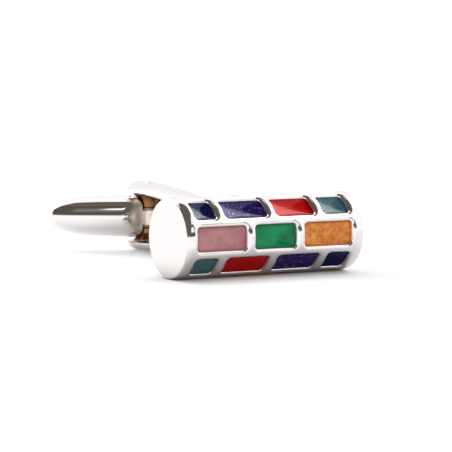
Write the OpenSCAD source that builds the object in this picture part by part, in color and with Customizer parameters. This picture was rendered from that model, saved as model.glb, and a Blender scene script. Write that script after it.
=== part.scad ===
// Barrel cufflink with coloured enamel cells and a swivelling bullet toggle.
// X runs along the barrel, Y along the post and away from the barrel, Z is up.
// The origin is on the back of the barrel, where the axis of the post leaves it.
// The cufflink lies on its barrel and on the rounded tip of the lower leg.

/* [Barrel] */
// Radius of the barrel
barrel_r = 4; // [3.6:0.1:5]
// Length of the barrel
barrel_len = 20; // [18:0.5:24]
// Rounding where the side of the barrel meets each flat end
barrel_edge_r = 0.15; // [0.1:0.05:0.4]

/* [Enamel cells] */
// Plain metal at each end of a row of cells
end_margin = 1.3; // [1:0.1:1.6]
// Distance between the ribs of a row
rib_pitch = 5.6; // [5:0.1:6]
// Width of a rib between two cells
rib_w = 1.05; // [0.8:0.05:1.3]
// Angle from one row of cells to the next, in degrees
row_step_deg = 48; // [45:0.5:49]
// Angle by which all rows are turned up, in degrees
row_turn_deg = 1.5; // [-3:0.5:3]
// Angle that a cell takes up around the barrel, in degrees
cell_deg = 33; // [28:0.5:34]
// Radius of a cell's corners
cell_corner_r = 0.35; // [0.2:0.05:0.5]
// Depth of a cell's floor below the crest of the barrel
cell_depth = 0.9; // [0.8:0.05:1]
// Drop from the crest of the barrel to the enamel along the walls
enamel_drop = 0.42; // [0.36:0.02:0.6]
// Hollow of the enamel's surface across a cell
enamel_sag = 0.08; // [0.04:0.01:0.12]

/* [Post] */
// Distance from the back of the barrel to the pivot
post_len = 18; // [16:0.2:21]
// Radius of the round tips of the legs, seen along the pivot
leg_tip_r = 2.55; // [2.3:0.05:2.7]
// Half width of the post at its waist, seen along the pivot
waist_half_w = 1.85; // [1.5:0.05:2.1]
// Distance from the back of the barrel to the waist
waist_y = 7; // [5:0.5:9]
// Height of the outside of the legs over the middle of the post, at their highest point
leg_crest = 3.65; // [3.5:0.05:3.9]
// Distance of that highest point beyond the pivot
leg_peak = 2; // [0:0.5:3]
// Radius of the long arc along the outside of a leg
leg_arc_r = 75; // [70:1:90]
// Radius of the crown across the outside of a leg
leg_crown_r = 4; // [3.8:0.1:6]
// Depth to which the root is drawn into the barrel before it is cut to fit
root_lap = 0.6; // [0.5:0.1:1]

/* [Toggle] */
// Length of the toggle
toggle_len = 21; // [18:0.2:22]
// Radius of the toggle at its middle
toggle_r = 2.2; // [1.9:0.05:2.4]
// Radius of the toggle where the rounding of its tip begins
toggle_tip_r = 1.25; // [1:0.05:1.5]
// Rounding of the toggle's tips
tip_edge_r = 0.5; // [0.3:0.05:0.8]
// Gap between the toggle and the legs along their whole length
toggle_gap = 0.4; // [0.25:0.05:0.5]
// Half width of the toggle where the two hollows of its waist come closest
neck_half_w = 1.25; // [1.1:0.05:1.35]
// Radius of the hollows on both sides of the waist
hollow_r = 6.8; // [5:0.1:8]
// Angle of the toggle from lying along the barrel, as it stands at rest
toggle_rest_deg = -31; // [-90:1:90]

/* [Pivot] */
// Radius of the pivot pin
pin_r = 0.6; // [0.5:0.05:0.75]
// How far the ends of the pin lie below the crest of the legs
pin_inset = 0.06; // [0.05:0.01:0.1]
// Running clearance between the pin and the toggle's bore
pin_clearance = 0.04; // [0.02:0.01:0.08]
// Radius of the knuckle and of the bosses that hold it
knuckle_r = 1.4; // [1.3:0.05:1.6]
// Thickness of the toggle's knuckle
knuckle_t = 1.7; // [1.3:0.1:2]
// Space for a spring washer on each side of the knuckle
washer_space = 0.2; // [0.16:0.02:0.3]
// Thickness of a spring washer's metal
washer_t = 0.1; // [0.08:0.01:0.14]
// Clearance between a spring washer and the knuckle that turns under it
washer_clearance = 0.03; // [0.02:0.01:0.05]
// Flat land between the hollow flare of a boss and the round tip of its leg
flare_land = 0.05; // [0.04:0.01:0.2]
// Clearance between a boss and the toggle's inner ends
boss_clearance = 0.15; // [0.1:0.05:0.25]

/* [Hidden] */
$fn = 96;
// Facets of the long, shallow arcs
arc_fn = 256;
// Steps along the rounded edges of the profiles that are given point by point
tip_steps = 24;
side_steps = 16;
edge_steps = 8;
// Overrun of every cut
over = 0.2;

row_limit = barrel_len / 2 - end_margin;
cell_w = 2 * barrel_r * sin(cell_deg / 2);
floor_z = barrel_r - cell_depth;
enamel_z = barrel_r - enamel_drop;
dish_r = (cell_w * cell_w / 4 + enamel_sag * enamel_sag) / (2 * enamel_sag);

// Places of the ribs in the two kinds of row, as shares of the rib pitch, and in the row laid unevenly
odd_rib_shares = [-0.5, 0.5];
even_rib_shares = [-1.02, 0, 1.02];
upper_front_rib_shares = [-1.05, -0.03, 0.93];

// Rows: name, place counted from the front over the top, rib places, colours from left to right
ROWS = [
    ["front", 0, odd_rib_shares, ["mauve", "green", "orange"]],
    ["upper_front", 1, upper_front_rib_shares, ["cobalt", "purple", "red", "teal"]],
    ["top", 2, odd_rib_shares, ["orange", "teal", "green"]],
    ["upper_back", 3, even_rib_shares, ["red", "navy", "mauve", "purple"]],
    ["lower_front", -1, even_rib_shares, ["teal", "red", "purple", "navy"]],
    ["bottom", -2, odd_rib_shares, ["purple", "orange", "cobalt"]],
    ["lower_back", -3, even_rib_shares, ["green", "mauve", "red", "teal"]],
];

// Colours of the enamels
ENAMELS = [
    ["mauve", "rosybrown"],
    ["green", "seagreen"],
    ["orange", "sandybrown"],
    ["cobalt", "mediumblue"],
    ["purple", "rebeccapurple"],
    ["red", "crimson"],
    ["teal", "cadetblue"],
    ["navy", "midnightblue"],
];

// The toggle's side is an arc through its middle and the start of each tip's rounding.
// The slot follows arcs about the same centres.
toggle_half = toggle_len / 2;
tip_start = toggle_half - tip_edge_r;
toggle_sag = toggle_r - toggle_tip_r;
toggle_arc_r = (tip_start * tip_start + toggle_sag * toggle_sag) / (2 * toggle_sag);
arc_offset = toggle_arc_r - toggle_r;
slot_arc_r = toggle_arc_r + toggle_gap;
slot_half = toggle_r + toggle_gap;

// Round end of the slot, tangent to its two sides
slot_end_t = toggle_half - toggle_tip_r;
slot_end_r = slot_arc_r - sqrt(slot_end_t * slot_end_t + arc_offset * arc_offset);

// The outside of each leg is the rim of a crowned wheel; the pin ends below that rim
wheel_drop = leg_arc_r - leg_crest;
crown_centre = leg_arc_r - leg_crown_r;
pin_end = sqrt(leg_arc_r * leg_arc_r - leg_peak * leg_peak) - wheel_drop - pin_inset;
waist_depth = leg_tip_r - waist_half_w;
waist_run = post_len - waist_y;
waist_arc_r = (waist_run * waist_run + waist_depth * waist_depth) / (2 * waist_depth);

knuckle_z = knuckle_t / 2;
boss_z = knuckle_z + washer_space;
flare_r = leg_tip_r - flare_land - knuckle_r;
flare_bite = flare_land / 2;
flare_z = slot_half + flare_bite - flare_r;
boss_top = slot_half + over / 2;
bore_r = pin_r + pin_clearance;

// Name of the enamel in one cell of a row
function cell_name(row, i) = str("enamel_", row[0], "_", i + 1);

// Colour word of an enamel
function enamel_colour(name) = [for (e = ENAMELS) if (e[0] == name) e[1]][0];

// Ends of all cells of a row along the barrel, from left to right
function cell_ends(row) = concat(
    [-row_limit],
    [for (s = row[2]) each [s * rib_pitch - rib_w / 2, s * rib_pitch + rib_w / 2]],
    [row_limit]
);

// Turns what points up to one row's place on the barrel
module at_row(row) {
    translate([0, -barrel_r, 0])
        rotate([90 - row[1] * row_step_deg - row_turn_deg, 0, 0])
            children();
}

// Outline of one cell, with rounded corners
module cell_outline(row, i) {
    ends = cell_ends(row);
    length = ends[2 * i + 1] - ends[2 * i];
    translate([(ends[2 * i] + ends[2 * i + 1]) / 2, 0]) {
        square([length - 2 * cell_corner_r, cell_w], center = true);
        square([length, cell_w - 2 * cell_corner_r], center = true);
        for (sx = [-1, 1])
            for (sy = [-1, 1])
                translate([sx * (length / 2 - cell_corner_r), sy * (cell_w / 2 - cell_corner_r)])
                    circle(cell_corner_r);
    }
}

// The cast barrel with its rounded ends and its open cells
module barrel() {
    color("gainsboro")
        difference() {
            translate([0, -barrel_r, 0])
                rotate([0, 90, 0])
                    rotate_extrude()
                        barrel_profile();
            for (row = ROWS)
                at_row(row)
                    for (i = [0 : len(row[3]) - 1])
                        translate([0, 0, floor_z])
                            linear_extrude(cell_depth + over)
                                cell_outline(row, i);
        }
}

// Half section of the barrel
module barrel_profile() {
    flat_r = barrel_r - barrel_edge_r;
    side_len = barrel_len - 2 * barrel_edge_r;
    translate([0, -barrel_len / 2])
        square([flat_r, barrel_len]);
    translate([0, -side_len / 2])
        square([barrel_r, side_len]);
    for (s = [-1, 1])
        translate([flat_r, s * side_len / 2])
            circle(barrel_edge_r);
}

// The enamel of one cell, hollow across the cell where it sank while it set
module enamel(row, i) {
    color(enamel_colour(row[3][i]))
        at_row(row)
            difference() {
                translate([0, 0, floor_z])
                    linear_extrude(enamel_z - floor_z)
                        cell_outline(row, i);
                translate([0, 0, enamel_z - enamel_sag + dish_r])
                    rotate([0, 90, 0])
                        cylinder(r = dish_r, h = barrel_len, center = true, $fn = arc_fn);
            }
}

// The crowned wheel whose rim is the outside of one leg, on the pivot's axes
module leg_wheel(side) {
    translate([0, leg_peak, -side * wheel_drop])
        rotate([0, 90, 0])
            rotate_extrude($fn = arc_fn) {
                translate([crown_centre, 0])
                    intersection() {
                        circle(leg_crown_r);
                        translate([-leg_crown_r, -leg_tip_r - over])
                            square([2 * leg_crown_r, 2 * (leg_tip_r + over)]);
                    }
                translate([0, -leg_tip_r - over])
                    square([crown_centre, 2 * (leg_tip_r + over)]);
            }
}

// Side view of the slot that takes one end of the toggle
module slot_side() {
    translate([post_len, 0]) {
        intersection() {
            translate([0, -arc_offset])
                circle(slot_arc_r, $fn = arc_fn);
            translate([0, arc_offset])
                circle(slot_arc_r, $fn = arc_fn);
            translate([-slot_end_t, -slot_half])
                square([slot_end_t + leg_tip_r + over, 2 * slot_half]);
        }
        translate([-slot_end_t, 0])
            circle(slot_end_r);
    }
}

// Half width of the post at a distance y from the back of the barrel
function post_half_w(y) =
    waist_half_w + waist_arc_r - sqrt(waist_arc_r * waist_arc_r - (y - waist_y) * (y - waist_y));

// One side of the post's top view, from its foot to the pivot
function post_edge(side, ys) = [for (y = ys) [side * post_half_w(y), y]];

// Top view of the post, with its waist and its round tips
module post_plan() {
    ys = [for (i = [0 : side_steps]) (i / side_steps) * (post_len + root_lap) - root_lap];
    back_ys = [for (i = [0 : side_steps]) ys[side_steps - i]];
    polygon(concat(
        post_edge(1, ys),
        [for (i = [1 : tip_steps - 1]) [
            leg_tip_r * cos(i * 180 / tip_steps),
            post_len + leg_tip_r * sin(i * 180 / tip_steps),
        ]],
        post_edge(-1, back_ys)
    ));
}

// Half section of a boss with a hollow flare, grown by a clearance g
module boss_profile(g) {
    hollow = flare_r - g;
    polygon(concat(
        [[0, 0], [knuckle_r + g, 0]],
        [for (i = [0 : edge_steps]) [
            knuckle_r + flare_r - hollow * cos(i * 90 / edge_steps),
            flare_z + hollow * sin(i * 90 / edge_steps),
        ]],
        [[knuckle_r + flare_r, boss_top], [0, boss_top]]
    ));
}

// The forked post: two curved legs, a solid root and two flared bosses for the toggle
module post() {
    color("silver")
        difference() {
            union() {
                difference() {
                    intersection() {
                        linear_extrude(2 * barrel_r, center = true)
                            post_plan();
                        translate([0, post_len, 0])
                            leg_wheel(1);
                        translate([0, post_len, 0])
                            leg_wheel(-1);
                    }
                    rotate([90, 0, 90])
                        linear_extrude(2 * (leg_tip_r + 2 * over), center = true)
                            slot_side();
                }
                for (s = [0, 1])
                    translate([0, post_len, 0])
                        mirror([0, 0, s])
                            difference() {
                                rotate_extrude()
                                    boss_profile(0);
                                translate([0, 0, -over])
                                    cylinder(r = leg_tip_r, h = boss_z + over);
                            }
            }
            translate([0, -barrel_r, 0])
                rotate([0, 90, 0])
                    cylinder(r = barrel_r, h = barrel_len, center = true);
            translate([0, post_len, 0])
                cylinder(r = pin_r, h = 2 * (barrel_r + over), center = true);
        }
}

// The pin, pressed into both legs and polished off with them
module pivot_pin() {
    color("lightgray")
        translate([0, post_len, 0])
            cylinder(r = pin_r, h = 2 * pin_end, center = true);
}

// A dished washer whose inner rim lies on the boss and whose outer rim bears on the knuckle
module spring_washer(side) {
    low = knuckle_z + washer_clearance;
    inner_r = pin_r + pin_clearance / 2;
    color("darkgray")
        translate([0, post_len, 0])
            mirror([0, 0, side])
                rotate_extrude()
                    polygon([
                        [inner_r, boss_z - washer_t],
                        [knuckle_r, low],
                        [knuckle_r, low + washer_t],
                        [inner_r, boss_z],
                    ]);
}

// One rounded tip of the toggle in half section, between two angles from its end
function toggle_tip(side, a, b) = [
    for (i = [0 : edge_steps])
        let (t = a + (b - a) * i / edge_steps)
            [toggle_tip_r - tip_edge_r + tip_edge_r * sin(t), side * (tip_start + tip_edge_r * cos(t))]
];

// Half section of the toggle's body, with blunt rounded tips
module toggle_profile() {
    ts = [for (i = [1 : 2 * side_steps - 1]) (i / side_steps - 1) * tip_start];
    polygon(concat(
        [[0, -toggle_half]],
        toggle_tip(-1, 0, 90),
        [for (t = ts) [sqrt(toggle_arc_r * toggle_arc_r - t * t) - arc_offset, t]],
        toggle_tip(1, 90, 0),
        [[0, toggle_half]]
    ));
}

// The bullet toggle: two tapered ends, joined by a waisted neck with a bored knuckle
module toggle() {
    color("silver")
        translate([0, post_len, 0])
            rotate([0, 0, toggle_rest_deg])
                difference() {
                    union() {
                        difference() {
                            rotate([0, 90, 0])
                                rotate_extrude()
                                    toggle_profile();
                            for (s = [-1, 1])
                                translate([0, s * (neck_half_w + hollow_r), 0])
                                    cylinder(r = hollow_r, h = 2 * (toggle_r + over), center = true);
                            for (s = [0, 1])
                                mirror([0, 0, s])
                                    difference() {
                                        rotate_extrude()
                                            boss_profile(boss_clearance);
                                        translate([0, 0, -over])
                                            cylinder(r = leg_tip_r, h = knuckle_z + over);
                                    }
                        }
                        cylinder(r = knuckle_r, h = knuckle_t, center = true);
                    }
                    cylinder(r = bore_r, h = 2 * toggle_r, center = true);
                }
}

barrel();
post();
pivot_pin();
spring_washer(0);  // upper_spring_washer
spring_washer(1);  // lower_spring_washer
toggle();
for (row = ROWS)
    for (i = [0 : len(row[3]) - 1])
        enamel(row, i);
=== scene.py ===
# %% [markdown]
# # An enamelled barrel cufflink
#
# A cufflink has a face that shows on the shirt cuff, and a closure behind it. Here the face is a
# round metal bar with coloured enamel sunk into open cells, laid like bricks. Behind it stands a
# forked post, and between its two legs a bullet-shaped toggle turns on a riveted pin.
#
# The measured model comes first: it is the fixed frame, and nothing in it is moved.

# %% Load the frame
import math

import bpy
import numpy as np
from mathutils import Matrix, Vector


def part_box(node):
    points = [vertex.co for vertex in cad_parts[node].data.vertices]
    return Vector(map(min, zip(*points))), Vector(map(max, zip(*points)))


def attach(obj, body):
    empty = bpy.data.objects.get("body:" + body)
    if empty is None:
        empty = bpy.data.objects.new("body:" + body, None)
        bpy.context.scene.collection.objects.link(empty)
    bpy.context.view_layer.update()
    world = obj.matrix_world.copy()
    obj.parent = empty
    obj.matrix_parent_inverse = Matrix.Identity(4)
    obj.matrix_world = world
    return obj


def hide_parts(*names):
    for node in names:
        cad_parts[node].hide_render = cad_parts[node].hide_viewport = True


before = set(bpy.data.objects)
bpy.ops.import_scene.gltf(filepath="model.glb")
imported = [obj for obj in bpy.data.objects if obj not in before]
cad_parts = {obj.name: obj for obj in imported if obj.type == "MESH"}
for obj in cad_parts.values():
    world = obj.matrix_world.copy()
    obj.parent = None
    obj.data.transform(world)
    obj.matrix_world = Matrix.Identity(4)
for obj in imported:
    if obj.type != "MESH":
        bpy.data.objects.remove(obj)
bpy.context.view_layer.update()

MM = 0.001

# %% [markdown]
# ## Sizes
#
# Whatever the measured model can tell is read from it. The rest repeats the maker's sizes, in
# millimetres. X runs along the barrel, Y along the post, and Z is up.

# %% Sizes in millimetres


def node_size(node):
    """Lowest corner and size of a node of the frame, in millimetres."""
    low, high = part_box(node)
    low = np.array(low) / MM
    return low, np.array(high) / MM - low


barrel_low, barrel_size = node_size("barrel")
BARREL_R = barrel_size[2] / 2
BARREL_LEN = barrel_size[0]
BARREL_Y = barrel_low[1] + BARREL_R
post_low, post_size = node_size("post")
LEG_TIP_R = post_size[0] / 2
POST_LEN = post_low[1] + post_size[1] - LEG_TIP_R

END_MARGIN = 1.3
RIB_PITCH = 5.6
RIB_W = 1.05
ROW_STEP = math.radians(48)
ROW_TURN = math.radians(1.5)
CELL_ARC = math.radians(33)
CELL_HALF_W = BARREL_R * math.sin(CELL_ARC / 2)
CELL_DEPTH = 0.9
CELL_CORNER_R = 0.35
FLOOR_Z = BARREL_R - CELL_DEPTH
ROW_LIMIT = BARREL_LEN / 2 - END_MARGIN

# Rib places of a row, in rib pitches: with three cells, with four, and in the row laid unevenly
THREE_CELLS = (-0.5, 0.5)
FOUR_CELLS = (-1.02, 0, 1.02)
UNEVEN_CELLS = (-1.05, -0.03, 0.93)

# Rows of cells: place counted from the front over the top, rib places, enamels
ROWS = {
    "front": (0, THREE_CELLS, ("mauve", "green", "orange")),
    "upper_front": (1, UNEVEN_CELLS, ("cobalt", "purple", "red", "teal")),
    "top": (2, THREE_CELLS, ("orange", "teal", "green")),
    "upper_back": (3, FOUR_CELLS, ("red", "navy", "mauve", "purple")),
    "lower_front": (-1, FOUR_CELLS, ("teal", "red", "purple", "navy")),
    "bottom": (-2, THREE_CELLS, ("purple", "orange", "cobalt")),
    "lower_back": (-3, FOUR_CELLS, ("green", "mauve", "red", "teal")),
}
LAST_ROW = 3


def cell_spans(ribs):
    """Left and right end of each cell of a row, between its ribs."""
    edges = [-ROW_LIMIT]
    for rib in ribs:
        edges += [rib * RIB_PITCH - RIB_W / 2, rib * RIB_PITCH + RIB_W / 2]
    edges.append(ROW_LIMIT)
    return [(edges[i], edges[i + 1]) for i in range(0, len(edges), 2)]


print(f"barrel {BARREL_LEN:.2f} x {2 * BARREL_R:.2f} mm, pivot {POST_LEN:.2f} mm behind it")

# %% [markdown]
# ## The camera
#
# The camera stands where the photographer stood: low, to the left of the barrel's front, with a
# long lens. The lens follows from the pixels that a millimetre takes up at the barrel. The shift
# only moves the frame, until the barrel's middle lies where it does in the photo.

# %% Camera
IMAGE_PX = 452
VIEW_AZIMUTH = math.radians(-30.6)
VIEW_ELEVATION = math.radians(5.45)
VIEW_ROLL = math.radians(0.26)
VIEW_DISTANCE = 0.260
PX_PER_MM = 10.15
BARREL_PX = (256.9, 234.0)
SENSOR_MM = 36.0
CLIP_START = 0.01


def direction(azimuth, elevation):
    """Unit vector from the object to a viewer: azimuth 0 is in front, and grows to the right."""
    return np.array([
        math.sin(azimuth) * math.cos(elevation),
        -math.cos(azimuth) * math.cos(elevation),
        math.sin(elevation),
    ])


def camera_turn(back, roll):
    """Rotation matrix of a camera that looks against back: columns right, up and back, rolled."""
    right = np.cross([0.0, 0.0, 1.0], back)
    right /= np.linalg.norm(right)
    up = np.cross(back, right)
    across = right * math.cos(roll) + up * math.sin(roll)
    return np.column_stack([across, np.cross(back, across), back])


view_back = direction(VIEW_AZIMUTH, VIEW_ELEVATION)
barrel_centre = np.array([0.0, BARREL_Y * MM, 0.0])
camera_data = bpy.data.cameras.new("photo_camera")
camera_data.sensor_width = SENSOR_MM
camera_data.lens = PX_PER_MM * (VIEW_DISTANCE / MM) / IMAGE_PX * SENSOR_MM
camera_data.shift_x = (IMAGE_PX / 2 - BARREL_PX[0]) / IMAGE_PX
camera_data.shift_y = (BARREL_PX[1] - IMAGE_PX / 2) / IMAGE_PX
camera_data.clip_start = CLIP_START
camera = bpy.data.objects.new("photo_camera", camera_data)
camera.rotation_mode = "QUATERNION"
bpy.context.scene.collection.objects.link(camera)
placed = np.eye(4)
placed[:3, :3] = camera_turn(view_back, VIEW_ROLL)
placed[:3, 3] = barrel_centre + view_back * VIEW_DISTANCE
camera.matrix_world = Matrix(placed.tolist())
bpy.context.scene.camera = camera
print(f"camera: lens {camera_data.lens:.1f} mm, "
      f"shift {camera_data.shift_x:.4f}, {camera_data.shift_y:.4f}")

# %% [markdown]
# ## Writing shader maths as Python
#
# A material is a graph of nodes. The class Wire wraps one output, so that a graph can be written
# as an expression: `mask * 0.5 + 1` adds the Math nodes by itself. The class Paint holds a whole
# graph and adds every other kind of node.

# %% Shader expressions


class Wire:
    """A socket's output that takes part in Python expressions."""

    def __init__(self, tree, socket):
        self.tree = tree
        self.socket = socket

    def math(self, operation, *values):
        """The result of a Math node whose first value is this wire."""
        node = self.tree.nodes.new("ShaderNodeMath")
        node.operation = operation
        for slot, value in zip(node.inputs, (self, *values)):
            plug(self.tree, slot, value)
        return Wire(self.tree, node.outputs[0])

    def __add__(self, other):
        return self.math("ADD", other)

    __radd__ = __add__

    def __mul__(self, other):
        return self.math("MULTIPLY", other)

    __rmul__ = __mul__

    def __sub__(self, other):
        return self.math("SUBTRACT", other)

    def __rsub__(self, other):
        return (self * -1) + other

    def __pow__(self, other):
        return self.math("POWER", other)


def plug(tree, slot, value):
    """Links a wire to a socket, or writes a plain value on it."""
    if isinstance(value, Wire):
        tree.links.new(value.socket, slot)
    elif isinstance(value, tuple) and len(value) == 3 and slot.type == "RGBA":
        slot.default_value = (*value, 1.0)
    else:
        slot.default_value = value


class Paint:
    """One material, or the world, whose nodes are added by name."""

    def __init__(self, owner, output):
        owner.use_nodes = True
        self.tree = owner.node_tree
        self.tree.nodes.clear()
        self.output = self.tree.nodes.new(output)

    def node(self, kind, settings=None, out=0, **values):
        """Adds a node: its settings first, then the values or wires of its sockets."""
        node = self.tree.nodes.new("ShaderNode" + kind)
        for name, value in (settings or {}).items():
            setattr(node, name, value)
        for name, value in values.items():
            plug(self.tree, self.find(node.inputs, name), value)
        return Wire(self.tree, self.find(node.outputs, out))

    @staticmethod
    def find(sockets, name):
        """A socket by its number, by i and its number, or by its name written with underscores."""
        if isinstance(name, int):
            return sockets[name]
        if name[0] == "i" and name[1:].isdigit():
            return sockets[int(name[1:])]
        return sockets[name.replace("_", " ")]

    def mix(self, factor, first, second):
        """A colour between two colours."""
        return self.node("Mix", {"data_type": "RGBA"}, out=2, i0=factor, i6=first, i7=second)

    def steps(self, value, low, high):
        """0 below low, 1 above high, and a smooth rise between."""
        return self.node("MapRange", {"interpolation_type": "SMOOTHSTEP"}, Value=value,
                         From_Min=low, From_Max=high)

    def noise(self, place, wave_mm, detail, roughness=0.5):
        """Soft noise from 0 to 1 at a place, with waves of a size in millimetres."""
        return self.node("TexNoise", Vector=place, Scale=1 / (wave_mm * MM), Detail=detail,
                         Roughness=roughness)

    def split(self, vector):
        """The x, y and z of a vector."""
        return [self.node("SeparateXYZ", out=k, Vector=vector) for k in range(3)]

    def finish(self, shader):
        """Links the last shader to the output."""
        self.tree.links.new(shader.socket, self.output.inputs["Surface"])


def new_paint(name):
    """A new material and the Paint that fills it."""
    material = bpy.data.materials.new(name)
    return material, Paint(material, "ShaderNodeOutputMaterial")


print("shader helpers ready")

# %% [markdown]
# ## The plated metal
#
# The casting is brass under a bright white plating, polished by hand. Such metal is nearly all
# reflection, so what matters is how its surface bends that reflection: long, shallow waves left
# by the polishing wheel, and a faint haze of hairlines that changes its roughness from place to
# place. Where no wheel reaches, around the pivot and in the post's slot, the metal stays satin,
# and painted shade darkens its colour there. A metal of one even roughness would look too clean
# to be real.

# %% Plated metal
HAZE_MM = 0.8
HAZE_DIM = 0.965
HAZE_ROUGH = 0.05
HAIR_MM = 0.12
HAIR_DEPTH_MM = 0.0006
HAIR_STRENGTH = 0.35
HAIR_ROUGH = 0.02
# Painted shade on the walls of the post's slot
SLOT_WALL_SHADE = (0.80, 0.77, 0.73)
SATIN_ROUGH = 0.2
RECESS_SIDE_FADE_MM = 0.3
RECESS_END_FADE_MM = 0.2


def plated_metal(name, colour, roughness, wave_mm, wave_depth_mm, shaded_recess=None):
    """Polished metal: noise waves bend its normal, and hairlines and haze vary its roughness.
    A recess is a drum about the pivot, radius sqrt(x^2 + (y - post length)^2), where no wheel
    reaches: the metal is satin there, and its colour turns to the recess colour, which is painted
    shade. The attribute named inside is 1 on the walls of the post's slot, which are satin too and
    darkened with painted shade."""
    material, paint = new_paint(name)
    place = paint.node("TexCoord", out="Object")
    waves = paint.noise(place, wave_mm, detail=1.0)
    haze = paint.noise(place, HAZE_MM, detail=4.0, roughness=0.6)
    hairs = paint.noise(place, HAIR_MM, detail=3.0, roughness=0.7)
    normal = paint.node("Bump", Strength=1.0, Distance=wave_depth_mm * MM, Height=waves)
    fine = paint.node("Bump", Strength=HAIR_STRENGTH, Distance=HAIR_DEPTH_MM * MM, Height=hairs,
                      Normal=normal)
    tint = paint.mix(haze, colour, tuple(c * HAZE_DIM for c in colour))
    rough = haze * HAZE_ROUGH + hairs * HAIR_ROUGH + roughness
    if shaded_recess:
        x, y, z = paint.split(place)
        ahead = y - POST_LEN * MM
        about_pin = (x * x + ahead * ahead) ** 0.5
        edge = shaded_recess["radius"] * MM
        top = shaded_recess["half_h"] * MM
        # Painted shade: in the recess about the pivot the colour turns to the recess colour
        near = 1 - paint.steps(about_pin, edge - RECESS_SIDE_FADE_MM * MM, edge)
        near = near * (1 - paint.steps(z.math("ABSOLUTE"), top - RECESS_END_FADE_MM * MM, top))
        tint = paint.mix(near, tint, shaded_recess["colour"])
        inside = paint.node("Attribute", {"attribute_name": "inside"}, out="Fac")
        # Painted shade on the slot's walls, outside the recess
        tint = paint.mix(inside * (1 - near), tint, SLOT_WALL_SHADE)
        rough = rough + near.math("MAXIMUM", inside) * SATIN_ROUGH
    shader = paint.node("BsdfPrincipled", Base_Color=tint, Metallic=1.0, Normal=fine,
                        Roughness=rough)
    paint.finish(shader)
    return material


# Recess colours are painted shade: deep brown in the fork's cavity, faint and warm on the toggle
FORK_RECESS_SHADE = {"radius": 2.6, "half_h": 2.5, "colour": (0.31, 0.165, 0.07)}
TOGGLE_RECESS_SHADE = {"radius": 3.0, "half_h": 2.1, "colour": (0.90, 0.84, 0.75)}

# Colour, roughness, size and depth of the waves, and recess with its painted shade
PLATE = ((0.955, 0.948, 0.94), 0.015, 2.6, 0.012)
METALS = {
    "bright_plate": PLATE,
    "fork_plate": (*PLATE, FORK_RECESS_SHADE),
    "toggle_plate": (*PLATE, TOGGLE_RECESS_SHADE),
    "pin_metal": ((0.92, 0.90, 0.885), 0.1, 0.9, 0.006),
    "spring_steel": ((0.62, 0.55, 0.45), 0.16, 0.7, 0.004),
}
METALS = {name: plated_metal(name, *recipe) for name, recipe in METALS.items()}
print("metals:", ", ".join(METALS))

# %% [markdown]
# ## The enamels
#
# Each cell holds a coloured enamel under a glassy skin. Some are plain and deep, some are pearly,
# and the purple one is full of fine glitter. One recipe makes them all: a mottled body colour,
# darkened along the walls with painted shade, flakes with a metal's shine, and a clear coat.
# The coat's weight says how much of the room the glass mirrors. The pieces carry an attribute
# named edge, which is 1 at a cell's wall and falls to 0 inside, and places the painted shade.

# %% Enamel recipe
BODY_ROUGH = 0.42
PEARL_SMOOTH = 0.2
FLAKE_SMOOTH = 0.15
FLAKE_METAL = 0.6
FLAKE_STRENGTH = 0.8
GRAIN_SHARE = 0.3
MOTTLE_EDGES = (0.34, 0.66)
WALL_SHADE_SHARE = 0.8
RIPPLE_MM = 0.006
GLASS = {"Specular_IOR_Level": 0.0, "Coat_Roughness": 0.02, "Coat_IOR": 1.5}


def enamel(name, body, light, wall_shade, mottle_mm, mottle, pearl=0.0, glitter=None, grain_mm=0.12,
           coat=0.5):
    """Glassy enamel: body and light colours mottled by noise, painted shade along the walls,
    pearl and glitter.
    Pearl is a metal's share of grain * pearl. A glitter flake is a Voronoi cell whose random
    value lies in the highest share."""
    material, paint = new_paint(name)
    place = paint.node("TexCoord", out="Object")
    cloud = paint.noise(place, mottle_mm, detail=3.0, roughness=0.6)
    grain = paint.noise(place, grain_mm, detail=2.0, roughness=0.6)
    edge = paint.node("Attribute", {"attribute_name": "edge"}, out="Fac")
    patches = cloud * (1 - GRAIN_SHARE) + grain * GRAIN_SHARE
    colour = paint.mix(paint.steps(patches, *MOTTLE_EDGES) * mottle, body, light)
    # Painted shade: darker towards the cell's walls
    colour = paint.mix(edge * WALL_SHADE_SHARE, colour, wall_shade)
    metal = grain * pearl
    rough = BODY_ROUGH - metal * PEARL_SMOOTH
    if glitter:
        flakes = paint.node("TexVoronoi", {"feature": "F1"}, out="Color", Vector=place,
                            Scale=1 / (glitter["size_mm"] * MM), Randomness=1.0)
        bright = paint.node("SeparateColor", out=0, Color=flakes)
        shine = paint.steps(bright, 1 - glitter["share"], 1.0)
        colour = paint.mix(shine * FLAKE_STRENGTH, colour, glitter["colour"])
        metal = metal + shine * FLAKE_METAL
        rough = rough - shine * FLAKE_SMOOTH
    ripple = paint.node("Bump", Strength=1.0, Distance=RIPPLE_MM * MM, Height=cloud)
    shader = paint.node("BsdfPrincipled", Base_Color=colour, Metallic=metal, Roughness=rough,
                        Normal=ripple, Coat_Weight=coat, **GLASS)
    paint.finish(shader)
    return material


BLUE_FLAKES = {"size_mm": 0.2, "share": 0.06, "colour": (0.02, 0.25, 0.9)}
VIOLET_FLAKES = {"size_mm": 0.13, "share": 0.14, "colour": (0.30, 0.19, 0.9)}
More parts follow.
